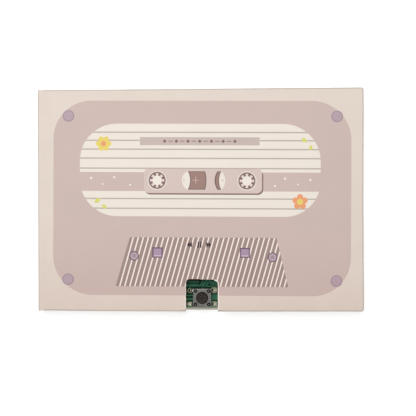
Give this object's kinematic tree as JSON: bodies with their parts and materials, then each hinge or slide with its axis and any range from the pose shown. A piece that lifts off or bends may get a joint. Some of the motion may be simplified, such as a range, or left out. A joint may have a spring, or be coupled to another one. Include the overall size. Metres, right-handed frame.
{
  "type": "recordable greeting card",
  "caption": "Folded card case with a printed front leaf on two creases, and a sound module whose play switch is pressed through a finger notch in the lower edge.",
  "frame": {"origin": "middle of the back face, on the surface that the closed card lies on", "axes": "+X to the right of the printed front, away from the fold, +Y to its top, +Z out of the front"},
  "size_m": [0.1084, 0.074, 0.0071],
  "materials": {
    "card_stock": "matte",
    "lining_paper": "matte",
    "panel_card": "matte",
    "foam_board": "matte",
    "board_laminate": "gloss",
    "foam_tape": "matte",
    "gasket_foam": "matte",
    "epoxy": "satin",
    "switch_plastic": "satin",
    "plunger_plastic": "satin",
    "switch_steel": "satin",
    "spring_steel": "gloss",
    "tinned_metal": "gloss",
    "cell_steel": "gloss",
    "contact_metal": "satin",
    "microphone_metal": "satin",
    "microphone_felt": "matte",
    "lamp_resin": "gloss",
    "resistor_ceramic": "satin",
    "capacitor_ceramic": "satin",
    "speaker_steel": "satin",
    "yoke_steel": "satin",
    "magnet_metal": "satin",
    "diaphragm_film": "satin",
    "coil_copper": "gloss",
    "phenolic_board": "satin",
    "red_insulation": "satin",
    "black_insulation": "satin"
  },
  "bodies": {
    "base": {"back_panel": "card_stock", "battery_cell_1": "cell_steel", "battery_cell_2": "cell_steel", "battery_cell_3": "cell_steel", "battery_clip_1": "spring_steel", "battery_clip_2": "spring_steel", "battery_clip_3": "spring_steel", "battery_contacts": "contact_metal", "board_tape": "foam_tape", "chip_capacitors": "capacitor_ceramic", "chip_resistors": "resistor_ceramic", "circuit_board": "board_laminate", "inner_panel": "panel_card", "microphone_can": "microphone_metal", "microphone_felt": "microphone_felt", "play_switch_dome": "spring_steel", "play_switch_housing": "switch_plastic", "play_switch_plate": "switch_steel", "play_switch_terminals": "tinned_metal", "record_led": "lamp_resin", "record_switch_dome": "spring_steel", "record_switch_housing": "switch_plastic", "record_switch_plate": "switch_steel", "record_switch_terminals": "tinned_metal", "solder_joints": "tinned_metal", "spacer_frame": "foam_board", "speaker_coil": "coil_copper", "speaker_diaphragm": "diaphragm_film", "speaker_frame": "speaker_steel", "speaker_gasket": "gasket_foam", "speaker_lugs": "tinned_metal", "speaker_magnet": "magnet_metal", "speaker_pole_plate": "yoke_steel", "speaker_terminal_board": "phenolic_board", "speaker_wire_black": "black_insulation", "speaker_wire_red": "red_insulation", "speaker_yoke": "yoke_steel", "voice_chip": "epoxy"},
    "spine": {"spine": "card_stock"},
    "front_leaf": {"front_cover": "card_stock", "cover_lining": "lining_paper"},
    "play_button": {"play_switch_plunger": "plunger_plastic"},
    "record_button": {"record_switch_plunger": "plunger_plastic"}
  },
  "joints": [
    {"name": "spine_crease", "type": "hinge", "parent": "base", "child": "spine", "pos_m": [-0.05425, 0, 0], "axis": [0, -1, 0], "range_deg": [0, 90]},
    {"name": "cover_crease", "type": "hinge", "parent": "spine", "child": "front_leaf", "pos_m": [-0.05425, 0, 0.00705], "axis": [0, -1, 0], "range_deg": [0, 90]},
    {"name": "play_press", "type": "slide", "parent": "base", "child": "play_button", "axis": [0, 0, -1], "range_m": [0, 0.00025], "stiffness_N_per_m": 6400, "deforming": ["play_switch_dome"]},
    {"name": "record_press", "type": "slide", "parent": "base", "child": "record_button", "axis": [0, 0, -1], "range_m": [0, 0.00025], "stiffness_N_per_m": 6400, "deforming": ["record_switch_dome"]}
  ],
  "couplings": [
    {"joint": "spine_crease", "follows": "cover_crease", "ratio": 1}
  ]
}
